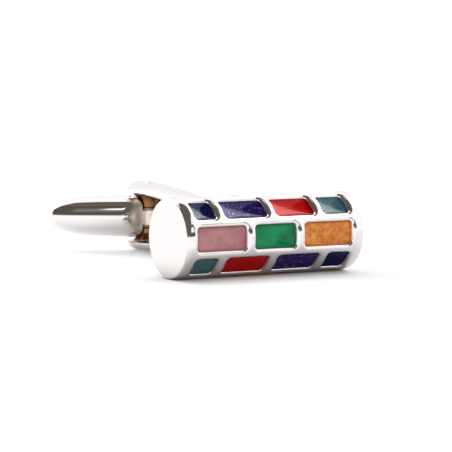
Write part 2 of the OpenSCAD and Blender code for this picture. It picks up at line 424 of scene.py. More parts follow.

# Body, light and wall colour (the wall colour is painted shade), mottle size and strength, then
# what differs from the recipe
RECIPES = {
    "mauve": ((0.66, 0.26, 0.30), (0.86, 0.45, 0.47), (0.36, 0.10, 0.12), 1.1, 0.7,
              {"pearl": 0.3}),
    "green": ((0.001, 0.24, 0.075), (0.010, 0.52, 0.20), (0.001, 0.08, 0.024), 2.2, 0.9, {}),
    "orange": ((0.74, 0.16, 0.020), (1.0, 0.44, 0.09), (0.42, 0.06, 0.006), 0.45, 1.0,
               {"pearl": 1.0, "grain_mm": 0.2}),
    "cobalt": ((0.001, 0.003, 0.08), (0.004, 0.012, 0.20), (0.001, 0.002, 0.04), 0.8, 0.5,
               {"coat": 1.0, "glitter": BLUE_FLAKES}),
    "purple": ((0.014, 0.002, 0.10), (0.045, 0.015, 0.22), (0.008, 0.002, 0.04), 0.6, 0.8,
               {"coat": 0.7, "glitter": VIOLET_FLAKES}),
    "red": ((0.66, 0.001, 0.001), (0.76, 0.001, 0.002), (0.34, 0.001, 0.001), 1.6, 0.4,
            {"pearl": 0.6}),
    "teal": ((0.070, 0.20, 0.255), (0.11, 0.27, 0.34), (0.025, 0.07, 0.085), 1.4, 0.6,
             {"pearl": 0.1, "coat": 0.8}),
    "navy": ((0.001, 0.002, 0.07), (0.004, 0.008, 0.12), (0.001, 0.001, 0.02), 0.9, 0.6, {}),
}
ENAMELS = {colour: enamel(f"{colour}_enamel", *recipe, **rest)
           for colour, (*recipe, rest) in RECIPES.items()}
print("enamels:", ", ".join(ENAMELS))

# %% [markdown]
# ## From arrays to meshes
#
# Every piece below is worked out as a whole array of points in millimetres. One function turns
# points and faces into a smooth mesh with its material, hangs it on its body, and hides the part
# of the frame that it stands for.

# %% Mesh helpers


def make_piece(name, points, faces, material, body, node):
    """A smooth mesh object from points in millimetres, hung on its body; it hides the frame's node
    that it stands for.
    """
    mesh = bpy.data.meshes.new(name)
    mesh.from_pydata((np.asarray(points) * MM).tolist(), [], [list(f) for f in faces])
    mesh.polygons.foreach_set("use_smooth", np.ones(len(mesh.polygons), dtype=bool))
    mesh.materials.append(material)
    mesh.update()
    piece = bpy.data.objects.new(name, mesh)
    bpy.context.scene.collection.objects.link(piece)
    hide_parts(node)
    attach(piece, body)
    return piece


def ring_faces(rings, count):
    """Quads between rings of equal count, each ring closed on itself, ring after ring."""
    i, j = np.meshgrid(np.arange(rings - 1), np.arange(count), indexing="ij")
    k = (j + 1) % count
    here, above = i * count, (i + 1) * count
    return np.stack([here + j, here + k, above + k, above + j], axis=-1).reshape(-1, 4).tolist()


def cap_faces(ring_start, count, pole, flip):
    """Triangles from one ring to its pole, the other way round with flip."""
    j = np.arange(count)
    k = (j + 1) % count
    a, b = (k, j) if flip else (j, k)
    return np.stack([ring_start + a, ring_start + b, np.full(count, pole)], axis=-1).tolist()


def rounded_box_distance(x, y, half_x, half_y, corner):
    """Signed distance to a rounded rectangle: outside positive, inside negative."""
    qx = np.abs(x) - half_x + corner
    qy = np.abs(y) - half_y + corner
    outside = np.hypot(np.maximum(qx, 0), np.maximum(qy, 0))
    return outside + np.minimum(np.maximum(qx, qy), 0) - corner


print("mesh helpers ready")

# %% [markdown]
# ## The barrel
#
# The barrel is one casting. Its ends are crowned: the last millimetre falls away to the flat caps,
# and polishing has rounded the mouth of every cell. It could be cut with booleans, but a polished
# surface shows every bad facet, so it is one grid instead, around and along the bar, with
# its lines crowded where a wall stands. Each point sinks by a rule that reads its distance
# from the nearest cell's outline.

# %% Barrel surface
RIM_R = 0.42
WALL_RUN = 0.08
CROWN_RUN = 0.9
CROWN_DROP = 0.13
CAP_EDGE_R = 0.06

# Grid lines: the widest gaps along and around, and the gap under which two lines merge
ALONG_GAP = 0.5
ACROSS_GAP = 0.18
LEAST_GAP = 0.012
BLANK_STRIP_STEPS = 8
# Lines at a cell's outline, as distances outwards: over its rim, down its wall, in its corner
EDGE_OFFSETS = np.concatenate([
    RIM_R * (1 - np.cos(np.linspace(0, math.pi / 2, 8))),
    -np.array([0.3, 0.65, 1.0, 1.5]) * WALL_RUN,
    -np.linspace(0.19, CELL_CORNER_R, 4),
])
# Steps of the crown's arc and of the small arc at its edge, then the rings on the flat cap
CROWN_STEPS = 14
CAP_EDGE_STEPS = 6
CAP_RINGS = np.array([0.985, 0.93, 0.8, 0.6, 0.4, 0.2, 0.06])
FAR = 9.0


def crowded(edges, low, high, outward, gap):
    """Places along a line, crowded at each edge: fine steps over its rim, wall and corner."""
    places = [low, high]
    for edge, side in zip(edges, outward):
        places += list(edge + side * EDGE_OFFSETS)
    places = np.unique(np.round([p for p in places if low <= p <= high], 5))
    merged = [places[0]]
    for place in places[1:]:
        if place - merged[-1] > LEAST_GAP:
            merged.append(place)
    merged[-1] = high
    filled = []
    for a, b in zip(merged, merged[1:]):
        filled += list(np.linspace(a, b, max(1, math.ceil((b - a) / gap)) + 1)[:-1])
    return np.array(filled + [merged[-1]])


def barrel_lines():
    """Grid places along the side of the barrel, and angles around it."""
    edges, outward = [], []
    for ribs in (THREE_CELLS, FOUR_CELLS, UNEVEN_CELLS):
        for low, high in cell_spans(ribs):
            edges += [low, high]
            outward += [-1, 1]
    limit = BARREL_LEN / 2 - CROWN_RUN
    along = crowded(edges, -limit, limit, outward, ALONG_GAP)
    half = math.asin(CELL_HALF_W / BARREL_R) * BARREL_R
    half_row = ROW_STEP / 2 * BARREL_R
    across = crowded([-half, half], -half_row, half_row, [-1, 1], ACROSS_GAP)
    rows = np.arange(-LAST_ROW, LAST_ROW + 1)[:, None] * ROW_STEP + across[None, :-1] / BARREL_R
    edge = (LAST_ROW + 0.5) * ROW_STEP
    strip = np.linspace(edge, 2 * math.pi - edge, BLANK_STRIP_STEPS + 1)[:-1]
    return along, np.concatenate([rows.ravel(), strip]) + ROW_TURN


def sink(x, turn):
    """Points of the barrel's side at x and at an angle from the front over the top.
    The surface height in a row's own frame is R cos(angle). Outside a cell's outline the rim
    drops along a quarter circle; inside, the wall runs straight down to the flat floor."""
    place = np.clip(np.round((turn - ROW_TURN) / ROW_STEP), -LAST_ROW, LAST_ROW)
    angle = place * ROW_STEP + ROW_TURN
    local = turn - angle
    across = BARREL_R * np.sin(local)
    up = BARREL_R * np.cos(local)
    distance = np.full(np.broadcast(x, turn).shape, FAR)
    for row_place, ribs, _ in ROWS.values():
        here = place == row_place
        for low, high in cell_spans(ribs):
            cell = rounded_box_distance(x - (low + high) / 2, across, (high - low) / 2,
                                        CELL_HALF_W, CELL_CORNER_R)
            distance = np.where(here, np.minimum(distance, cell), distance)
    on_rim = np.clip(RIM_R - distance, 0, RIM_R)
    rim_z = up - (RIM_R - np.sqrt(np.maximum(RIM_R ** 2 - on_rim ** 2, 0)))
    wall = np.clip(-distance / WALL_RUN, 0, 1)
    z = rim_z * (1 - wall) + FLOOR_Z * wall
    y = BARREL_Y - z * np.cos(angle) + across * np.sin(angle)
    return np.stack([x + 0 * z, y, z * np.sin(angle) + across * np.cos(angle)], axis=-1)


def end_profile():
    """Half section of one end, from the crown's start to the cap's middle, as x past the start
    and radius. The crown is an arc of radius (run^2 + drop^2) / (2 drop), tangent to the side; a
    small arc turns its edge into the flat cap."""
    arc_r = (CROWN_RUN ** 2 + CROWN_DROP ** 2) / (2 * CROWN_DROP)
    slope = math.asin(CROWN_RUN / arc_r)
    t = np.linspace(0, slope, CROWN_STEPS + 1)[1:]
    run = arc_r * np.sin(t)
    radius = BARREL_R - arc_r * (1 - np.cos(t))
    u = np.linspace(slope, math.pi / 2, CAP_EDGE_STEPS + 1)[1:]
    edge_run = run[-1] + CAP_EDGE_R * (np.sin(u) - math.sin(slope))
    edge_r = radius[-1] - CAP_EDGE_R * (math.cos(slope) - np.cos(u))
    scale = CROWN_RUN / edge_run[-1]
    cap_r = edge_r[-1] * CAP_RINGS
    run = np.concatenate([run, edge_run, np.full(len(cap_r), edge_run[-1])]) * scale
    return run, np.concatenate([radius, edge_r, cap_r])


def build_barrel():
    """The barrel as rings around X, from the left cap over the side to the right cap."""
    along, around = barrel_lines()
    run, radius = end_profile()
    side = sink(along[:, None], around[None, :])

    def end_rings(sign, order):
        """Rings of the left end (sign -1) or the right end (1), in the order given."""
        x = sign * (BARREL_LEN / 2 - CROWN_RUN + run[order])[:, None]
        r = radius[order][:, None]
        return np.stack([x + 0 * around, BARREL_Y - r * np.cos(around), r * np.sin(around)],
                        axis=-1)

    order = np.arange(len(run))
    rings = np.concatenate([end_rings(-1, order[::-1]), side, end_rings(1, order)])
    count = len(around)
    points = rings.reshape(-1, 3)
    faces = ring_faces(len(rings), count)
    left, right = len(points), len(points) + 1
    poles = [[sign * BARREL_LEN / 2, BARREL_Y, 0] for sign in (-1, 1)]
    points = np.concatenate([points, poles])
    faces += cap_faces(0, count, left, True)
    faces += cap_faces(count * (len(rings) - 1), count, right, False)
    return make_piece("barrel_casting", points, faces, METALS["bright_plate"], "head", "barrel")


barrel = build_barrel()
print("barrel faces", len(barrel.data.polygons))

# %% [markdown]
# ## The enamel fills
#
# Liquid enamel climbs the walls of its cell and sinks in the middle while it sets, so each fill is
# a shallow dish with a bright line around it. The dish is a stack of rounded rectangles, each
# inside the last, whose height follows from the distance to the wall.

# %% Enamel fills
WALL_LEVEL = 0.42
CLIMB = 0.05
CLIMB_RUN = 0.08
DISH = 0.16
SEAT_LAP = 0.03
SEAT_LIFT = 0.01
EDGE_FADE = 0.16

# Insets of the rings, as shares of the half width
RING_SHARES = (0, 0.02, 0.045, 0.075, 0.11, 0.16, 0.22, 0.3, 0.4, 0.52, 0.66, 0.8, 0.92, 1.0)
LEAST_HALF_W = 0.0004
# Points of a ring along each side, each end and each corner
RING_STEPS = (26, 12, 8)


def rounded_outline(half_x, half_y, corner, steps_x, steps_y, steps_corner):
    """Points around a rounded rectangle, counterclockwise from the right end. The second half is
    the first one turned by 180 degrees."""
    t = (np.arange(steps_corner) / steps_corner) * math.pi / 2
    cx, cy = half_x - corner, half_y - corner
    up = np.linspace(-cy, cy, steps_y, endpoint=False)
    left = np.linspace(cx, -cx, steps_x, endpoint=False)
    quarter = corner * np.stack([np.cos(t), np.sin(t)], axis=-1)
    turned = corner * np.stack([-np.sin(t), np.cos(t)], axis=-1)
    half = np.concatenate([
        np.stack([np.full(steps_y, half_x), up], axis=-1), quarter + [cx, cy],
        np.stack([left, np.full(steps_x, half_y)], axis=-1), turned + [-cx, cy]])
    return np.concatenate([half, -half])


def fill_rings(length):
    """Rings of one fill, as x, across and distance from the wall. The corners grow rounder from
    ring to ring, up to 0.98 of the ring's half width."""
    half_x, half_y = length / 2 + SEAT_LAP, CELL_HALF_W + SEAT_LAP
    rings = []
    for share in RING_SHARES:
        inset = half_y * share
        ring_y = max(half_y - inset, LEAST_HALF_W)
        corner = ring_y * (CELL_CORNER_R / half_y * (1 - share) + share * 0.98)
        ring = rounded_outline(half_x - inset, ring_y, corner, *RING_STEPS)
        rings.append(np.column_stack([ring, np.full(len(ring), inset)]))
    return np.stack(rings)


def fill_height(x, across, inset, half_x):
    """Height of the enamel: the wall's level, less climb (1 - exp(-wall distance / run)), less a
    dish that is a parabola both ways."""
    wall = np.maximum(inset - SEAT_LAP, 0)
    dish = (1 - np.minimum(x / half_x, 1) ** 2) * (1 - np.minimum(across / CELL_HALF_W, 1) ** 2)
    return BARREL_R - WALL_LEVEL - CLIMB * (1 - np.exp(-wall / CLIMB_RUN)) - DISH * dish


def build_fill(row, index, span, colour):
    """One fill as a closed solid: a ring on the cell's floor, the dish above it and a flat
    underside. It is worked out in its row's own frame, then turned to its row's angle. Its
    attribute named edge is exp(-(distance from the wall / fade)^1.5)."""
    place = ROWS[row][0]
    length = span[1] - span[0]
    along, across, inset = np.moveaxis(fill_rings(length), -1, 0)
    height = fill_height(np.abs(along), np.abs(across), inset, length / 2)
    top = np.stack([along, across, height], axis=-1)
    floor_ring = top[:1].copy()
    floor_ring[..., 2] = FLOOR_Z + SEAT_LIFT
    stack = np.concatenate([floor_ring, top])
    count = stack.shape[1]
    flat = stack.reshape(-1, 3)
    angle = place * ROW_STEP + ROW_TURN
    x = flat[:, 0] + (span[0] + span[1]) / 2
    y = BARREL_Y - flat[:, 2] * math.cos(angle) + flat[:, 1] * math.sin(angle)
    z = flat[:, 2] * math.sin(angle) + flat[:, 1] * math.cos(angle)
    faces = ring_faces(len(stack), count)
    faces.append(list(range(count))[::-1])
    last = count * (len(stack) - 1)
    faces.append(list(range(last, last + count)))
    node = f"enamel_{row}_{index + 1}"
    piece = make_piece(f"fill_{row}_{index + 1}", np.column_stack([x, y, z]), faces,
                       ENAMELS[colour], "head", node)
    inset = np.concatenate([np.zeros(count), inset.ravel()])
    # The edge attribute places the painted shade along the walls
    edge = piece.data.attributes.new("edge", "FLOAT", "POINT")
    edge.data.foreach_set("value", np.exp(-(inset / EDGE_FADE) ** 1.5).astype(np.float32))
    return piece


fills = [
    build_fill(row, index, span, colours[index])
    for row, (_, ribs, colours) in ROWS.items()
    for index, span in enumerate(cell_spans(ribs))
]
print("enamel fills:", len(fills))

# %% [markdown]
# ## Soft castings from a distance rule
#
# The fork and the toggle run from one shape into the next: legs into bosses, bullet into waist.
# Each is written as one rule that gives the distance to its surface, negative inside. Two shapes
# are joined or cut with a smooth minimum or maximum, which rounds the edge between them as
# polishing does. The surface is then found on a grid of small cubes, all at once, and every point
# is moved onto it along the rule's slope.

# %% Surfaces from distance rules
GRID_MARGIN = 0.2
SETTLE_PASSES = 4
LEAST_SLOPE = 0.05
LONGEST_STEP = 0.5


def soft_max(a, b, soft):
    """The larger of two distances, plus soft / 4 (1 - |a - b| / soft)^2 where they differ by
    less than soft, which rounds the edge between two shapes."""
    blend = np.maximum(soft - np.abs(a - b), 0) / soft
    return np.maximum(a, b) + blend * blend * soft / 4


def soft_min(a, b, soft):
    """The smaller of two distances, with the corner between the shapes filled the same way."""
    return -soft_max(-a, -b, soft)


def slope(rule, points, reach=0.004):
    """The rule's gradient at points, from small steps both ways along each axis."""
    parts = []
    for axis in np.eye(3) * reach:
        parts.append((rule(*(points + axis).T) - rule(*(points - axis).T)) / (2 * reach))
    return np.stack(parts, axis=-1)


def rule_surface(rule, low, high, cube):
    """Points and quads of the surface where rule is zero, between two corners.
    A cube whose corners lie on both sides holds one point, the mean of the crossings on its
    edges. Four cubes around a crossed edge share a quad. The points then move onto the surface by
    rule * gradient / |gradient|^2, and by no more than half a cube at a time."""
    axes = [np.arange(a, b + cube, cube) for a, b in zip(low, high)]
    grid = np.meshgrid(*axes, indexing="ij")
    value = rule(*grid)
    shape = np.array(value.shape) - 1
    total = np.zeros((*shape, 3))
    hits = np.zeros(shape)
    crossed = []
    for axis in range(3):
        near = np.take(value, np.arange(value.shape[axis] - 1), axis)
        far = np.take(value, np.arange(1, value.shape[axis]), axis)
        cut = (near < 0) != (far < 0)
        share = np.where(cut, near / np.where(cut, near - far, 1), 0)
        crossed.append((cut, near < 0))
        a, b = (k for k in range(3) if k != axis)
        for da, db in ((0, 0), (0, 1), (1, 0), (1, 1)):
            pick = [slice(None)] * 3
            pick[a] = slice(da, da + shape[a])
            pick[b] = slice(db, db + shape[b])
            here = cut[tuple(pick)]
            hits += here
            total[..., axis] += share[tuple(pick)] * here
            total[..., a] += da * here
            total[..., b] += db * here
    full = hits > 0
    number = np.full(shape, -1)
    number[full] = np.arange(full.sum())
    points = (np.argwhere(full) + total[full] / hits[full][:, None]) * cube + np.array(low)
    faces = []
    for axis, (cut, inside) in enumerate(crossed):
        a, b = (k for k in range(3) if k != axis)
        where = np.argwhere(cut)
        across = where[:, [a, b]]
        where = where[((across > 0) & (across < shape[[a, b]])).all(axis=1)]
        corners = []
        for da, db in ((1, 1), (0, 1), (0, 0), (1, 0)):
            cell = where.copy()
            cell[:, a] -= da
            cell[:, b] -= db
            corners.append(number[tuple(cell.T)])
        quad = np.stack(corners, axis=-1)
        outward = inside[tuple(where.T)] != (axis == 1)
        quad[~outward] = quad[~outward][:, ::-1]
        faces.append(quad)
    for _ in range(SETTLE_PASSES):
        gradient = slope(rule, points)
        size = np.maximum((gradient ** 2).sum(axis=-1), LEAST_SLOPE)
        step = gradient * (rule(*points.T) / size)[:, None]
        length = np.maximum(np.linalg.norm(step, axis=-1), 1e-9)[:, None]
        points = points - step * np.minimum(1, LONGEST_STEP * cube / length)
    return points, np.concatenate(faces)


print("distance rules ready")

# %% [markdown]
# ## The forked post
#
# The post is a single casting: a root soldered to the barrel, two crowned legs, and on the inside
# of each leg a boss that flares out like the end of a spool. The toggle's knuckle sits between
# the bosses, and the slot follows the toggle's outline at a small gap, so that it can turn.
# Booleans of cylinders would leave creases that a bevel can't follow; a distance rule rounds them.

# %% Post
TOGGLE_HALF = 10.5
TOGGLE_R = 2.2
TIP_R = 1.25
TIP_EDGE_R = 0.5
WAIST_HALF_W = 1.85
WAIST_Y = 7.0
LEG_CREST = 3.65
LEG_PEAK = 2.0
LEG_ARC_R = 75.0
LEG_CROWN_R = 4.0
KNUCKLE_R = 1.4
KNUCKLE_Z = 0.85
BOSS_Z = 1.05
PIN_R = 0.6
# The measured slot leaves a gap of 0.40 mm. The looks were fitted to the photo with this one.
TOGGLE_GAP = 0.35

# The toggle's outline in the measured model is an arc that falls to its tip; the slot follows it
TIP_START = TOGGLE_HALF - TIP_EDGE_R
ARC_R = (TIP_START ** 2 + (TOGGLE_R - TIP_R) ** 2) / (2 * (TOGGLE_R - TIP_R))
ARC_OFFSET = ARC_R - TOGGLE_R
SLOT_ARC_R = ARC_R + TOGGLE_GAP
SLOT_HALF = TOGGLE_R + TOGGLE_GAP
SLOT_END_T = TOGGLE_HALF - TIP_R
SLOT_END_R = SLOT_ARC_R - math.hypot(SLOT_END_T, ARC_OFFSET)

# The legs' outside is like the rim of a large wheel, crowned
WHEEL_DROP = LEG_ARC_R - LEG_CREST
CROWN_CENTRE = LEG_ARC_R - LEG_CROWN_R
WAIST_IN = LEG_TIP_R - WAIST_HALF_W
WAIST_ARC_R = ((POST_LEN - WAIST_Y) ** 2 + WAIST_IN ** 2) / (2 * WAIST_IN)

# Each boss flares up to a small land on its leg, and its root laps into the leg
BOSS_LAND = 0.05
BOSS_ROOT = 0.1
FLARE_RISE = 0.025
FLARE_R = LEG_TIP_R - BOSS_LAND - KNUCKLE_R
FLARE_Z = SLOT_HALF + FLARE_RISE - FLARE_R

# The foot swells where solder fills the corner against the barrel, and laps into the barrel
FOOT_SWELL = 0.16
FOOT_RUN = 0.13
FOOT_LAP = 0.02
FOOT_Y = -0.9

# Widths over which edges are rounded
LEG_SOFT = 0.4
SLOT_SOFT = 0.2
BOSS_SOFT = 0.08
BOSS_ROOT_SOFT = 0.1
FOOT_SOFT = 0.01
BORE_SOFT = 0.05

POST_BORE_GAP = 0.01
POST_CUBE = 0.085
SATIN_RUN = 0.06


def spool_radius(height):
    """Radius of a boss at a height from the middle: straight, then a quarter-round flare."""
    rise = np.clip(height - FLARE_Z, 0, FLARE_R)
    return KNUCKLE_R + FLARE_R - np.sqrt(np.maximum(FLARE_R ** 2 - rise ** 2, 0))


def slot_rule(t, z):
    """Distance rule of the slot: |z| less the arc sqrt(radius^2 - t^2) - offset, which is the
    toggle's own outline and its gap, with a round end towards the barrel."""
    arc = np.sqrt(np.maximum(SLOT_ARC_R ** 2 - t ** 2, 1e-6)) - ARC_OFFSET
    return np.where(t < -SLOT_END_T, np.hypot(t + SLOT_END_T, z) - SLOT_END_R, np.abs(z) - arc)


def post_rule(x, y, z):
    """Distance rule of the post: the crowned wheel, cut to the waisted outline seen along the
    pivot, less the slot, with the bosses added. The foot grows by swell * exp(-distance from the
    barrel / run), and is then cut to the barrel's round."""
    t = y - POST_LEN
    high = np.abs(z)
    about_wheel = np.hypot(t - LEG_PEAK, high + WHEEL_DROP)
    outside = np.hypot(about_wheel - CROWN_CENTRE, x) - LEG_CROWN_R
    about_pin = np.hypot(x, t)
    from_waist = np.minimum(y, POST_LEN) - WAIST_Y
    half_w = WAIST_HALF_W + WAIST_ARC_R - np.sqrt(WAIST_ARC_R ** 2 - from_waist ** 2)
    plan = np.where(t > 0, about_pin - LEG_TIP_R, np.abs(x) - half_w)
    body = soft_max(soft_max(outside, plan, LEG_SOFT), -slot_rule(t, z), SLOT_SOFT)
    boss = soft_max(about_pin - spool_radius(high), BOSS_Z - high, BOSS_SOFT)
    boss = np.maximum(boss, high - SLOT_HALF - BOSS_ROOT)
    body = soft_min(body, boss, BOSS_ROOT_SOFT)
    to_barrel = np.hypot(y - BARREL_Y, z) - BARREL_R
    body = body - FOOT_SWELL * np.exp(-np.maximum(to_barrel, 0) / FOOT_RUN)
    body = soft_max(body, -(to_barrel + FOOT_LAP), FOOT_SOFT)
    return soft_max(body, PIN_R + POST_BORE_GAP - about_pin, BORE_SOFT)


side, top = LEG_TIP_R + GRID_MARGIN, BARREL_R + GRID_MARGIN
post_points, post_faces = rule_surface(
    post_rule, (-side, FOOT_Y, -top), (side, POST_LEN + side, top), POST_CUBE)
post = make_piece("forked_post", post_points, post_faces.tolist(), METALS["fork_plate"], "head",
                  "post")
# The attribute named inside: 1 on the slot's walls, 0 farther out than 1.5 runs. It places
# the satin and the painted shade of the slot's walls
into_slot = slot_rule(post_points[:, 1] - POST_LEN, post_points[:, 2])
on_wall = np.clip(1.5 - into_slot / SATIN_RUN, 0, 1)
inside = post.data.attributes.new("inside", "FLOAT", "POINT")
inside.data.foreach_set("value", on_wall.astype(np.float32))
print("post faces", len(post.data.polygons))

# %% [markdown]
# ## The toggle
#
# The toggle is a bullet at each end, with a waist between, so that it clears the bosses when it
# turns. A lathe shape alone could give the bullet, but not its flat knuckle and side hollows, so
# it is a distance rule too. It lies along X about its own middle, and is then turned to its rest.

# %% Toggle
NECK_HALF_W = 1.35
HOLLOW_R = 3.6
BOSS_CLEARANCE = 0.15
TOGGLE_BORE_GAP = 0.04
REST_TURN = math.radians(-31)

# The bullet's outline: how much fuller than its radius it is, its long bow and its drawn-in nose
BULLET_FULL = 0.05
BULLET_BOW = 0.0035
BULLET_NOSE = 0.62

# Widths over which edges are rounded
END_SOFT = 0.3
HOLLOW_SOFT = 0.5
ROOM_SOFT = 0.1
ROOM_EDGE_SOFT = 0.2
KNUCKLE_SOFT = 0.1
BORE_EDGE_SOFT = 0.04

TOGGLE_CUBE = 0.075


def bullet_radius(t):
    """Radius of the toggle at t from its middle: R + full - bow t^2 - nose (t / tip start)^8."""
    return TOGGLE_R + BULLET_FULL - BULLET_BOW * t ** 2 - BULLET_NOSE * (t / TIP_START) ** 8


def toggle_rule(x, y, z):
    """Distance rule of the toggle: a bullet, less two side hollows and the room for the bosses,
    with the bored knuckle added in the middle."""
    along, high = np.abs(x), np.abs(z)
    body = np.hypot(y, z) - bullet_radius(np.clip(along, 0, TOGGLE_HALF))
    body = soft_max(body, along - TOGGLE_HALF, END_SOFT)
    for side in (-1, 1):
        hollow = np.hypot(x, y - side * (NECK_HALF_W + HOLLOW_R)) - HOLLOW_R
        body = soft_max(body, -hollow, HOLLOW_SOFT)
    about_pin = np.hypot(x, y)
    room = about_pin - spool_radius(high) - BOSS_CLEARANCE
    room = soft_max(room, KNUCKLE_Z - high, ROOM_SOFT)
    body = soft_max(body, -room, ROOM_EDGE_SOFT)
    knuckle = soft_max(about_pin - KNUCKLE_R, high - KNUCKLE_Z, KNUCKLE_SOFT)
    body = soft_min(body, knuckle, KNUCKLE_SOFT)
    return soft_max(body, PIN_R + TOGGLE_BORE_GAP - about_pin, BORE_EDGE_SOFT)


half_grid = np.array([TOGGLE_HALF, TOGGLE_R, TOGGLE_R]) + GRID_MARGIN
toggle_points, toggle_faces = rule_surface(toggle_rule, -half_grid, half_grid, TOGGLE_CUBE)
turn = np.array([[math.cos(REST_TURN), -math.sin(REST_TURN), 0],
                 [math.sin(REST_TURN), math.cos(REST_TURN), 0], [0, 0, 1]])
toggle_points = toggle_points @ turn.T + [0, POST_LEN, 0]
toggle = make_piece("bullet_toggle", toggle_points, toggle_faces.tolist(),
                    METALS["toggle_plate"], "toggle", "toggle")
print("toggle faces", len(toggle.data.polygons))

# %% [markdown]
# ## Pin and washers
#
# A riveted pin with shallow domed ends holds the toggle, and two dished washers press on its
# knuckle, so that it stays where it is put. A cylinder would do for the pin, but one function
# that carries a half section around the pivot makes all three.

# %% Turned parts
ON_AXIS = 1e-6


def turned(name, section, sides, material, body, node, slot):
    """A solid of revolution about the pivot from section points, as radius and height. A section
    that starts on the axis is closed with a pole at each end, any other one is a closed ring."""
    t = np.arange(sides) / sides * 2 * math.pi
    radius, height = section[:, :1], section[:, 1:]
    rings = np.stack([radius * np.cos(t), POST_LEN + radius * np.sin(t), height + 0 * t], axis=-1)
    if section[0, 0] < ON_AXIS:
        poles = [np.mean(rings[0], axis=0), np.mean(rings[-1], axis=0)]
        points = np.concatenate([rings[1:-1].reshape(-1, 3), poles])
        count = len(section) - 2
        faces = ring_faces(count, sides)
        faces += cap_faces(0, sides, count * sides, True)
        faces += cap_faces((count - 1) * sides, sides, count * sides + 1, False)
    else:
        points = rings.reshape(-1, 3)
        faces = (np.array(ring_faces(len(section) + 1, sides)) % len(points)).tolist()
    return make_piece(name, points, faces, material, body, node)


PIN_SIDES = 64
PIN_DOME = 0.04
PIN_SUNK = 0.01
PIN_END = math.sqrt(LEG_ARC_R ** 2 - LEG_PEAK ** 2) - WHEEL_DROP - PIN_SUNK
dome = np.linspace(0, math.pi / 2, 9)
pin_top = np.stack([PIN_R * np.sin(dome), PIN_END - PIN_DOME * (1 - np.cos(dome))], axis=-1)
pin_section = np.concatenate([pin_top * [1, -1], pin_top[::-1]])
turned("riveted_pin", pin_section, PIN_SIDES, METALS["pin_metal"], "head", "pivot_pin",
       "pin_metal")

WASHER_SIDES = 96
WASHER_T = 0.1
WASHER_EDGE = 0.02
WASHER_BORE_R = PIN_R + 0.02
WASHER_LOW = KNUCKLE_Z + 0.03
WASHER_HIGH = WASHER_LOW + WASHER_T
WASHER_SECTION = np.array([
    [WASHER_BORE_R, BOSS_Z - WASHER_T],
    [KNUCKLE_R - WASHER_EDGE, WASHER_LOW],
    [KNUCKLE_R, WASHER_LOW + WASHER_EDGE],
    [KNUCKLE_R, WASHER_HIGH - WASHER_EDGE],
    [KNUCKLE_R - WASHER_EDGE, WASHER_HIGH],
    [WASHER_BORE_R, BOSS_Z],
])
for place, side in (("upper", 1), ("lower", -1)):
    turned(f"{place}_washer", (WASHER_SECTION * [1, side])[::side], WASHER_SIDES,
           METALS["spring_steel"], "head", f"{place}_spring_washer", "spring_steel")
print("pin and washers turned")

# %% [markdown]
# ## The paper
#
# The cufflink lies on white paper, on its barrel and on the rounded tip of the lower leg. The leg
# stands a little less high than the barrel, so in the part's own frame the paper leans by a
# degree.
#
# The camera sees lit paper mixed with a glow. The glow fades where the cufflink shuts out the
# sky, to a warm near-black under the barrel and a weaker shade behind it, and painted shade
# makes it a little darker towards the right. The metal mirrors plain paper close by, with painted
# contact shade where something touches it, and more of the bright paper farther away, so that
# painted shade darkens the mirrored paper near the cufflink. A lit plane alone would be grey in
# the picture and white in the metal, and the photo has it the other way round.

# %% Floor
FLOOR_HALF_M = 1.5
TIP_PRESS = 0.02
TOOTH_MM = 0.4
TOOTH_DEPTH_MM = 0.01

# Lit paper for the camera and for the metal; to the metal it is darker at a contact, with
# painted contact shade, up to these shares of open sky
PAPER_BRIGHT = (0.95, 0.94, 0.955)
PAPER_PLAIN = (0.80, 0.775, 0.765)
PAPER_CONTACT_SHADE = (0.28, 0.20, 0.17)
CONTACT_SKY = (0.05, 0.4)

# The glow: its strength, then its colours under open sky and in the shade, in pairs, and the
# places between which the first turns into the second. The colour towards the right is painted
# shade
PAPER_GLOW = 2.2
PAPER_OPEN = (1.0, 1.0, 1.0)
PAPER_SHADE_RIGHT = (0.74, 0.71, 0.75)
RIGHT_X = (0 * MM, 14 * MM)
PAPER_SHADE = (0.03, 0.015, 0.01)
PAPER_SHADE_BEHIND = (0.33, 0.32, 0.33)
BEHIND_Y = (0 * MM, 5 * MM)
# How far the sky is felt, and the share of lit paper in what the camera sees
PAPER_REACH_MM = 8
PAPER_SHARE = 0.6

# Share of the camera's paper in what the metal mirrors, near and far; the low share near the
# cufflink is painted shade in the reflection
MIRRORED_NEAR = 0.15
MIRRORED_FAR = 0.6
MIRRORED_AWAY = (7 * MM, 22 * MM)


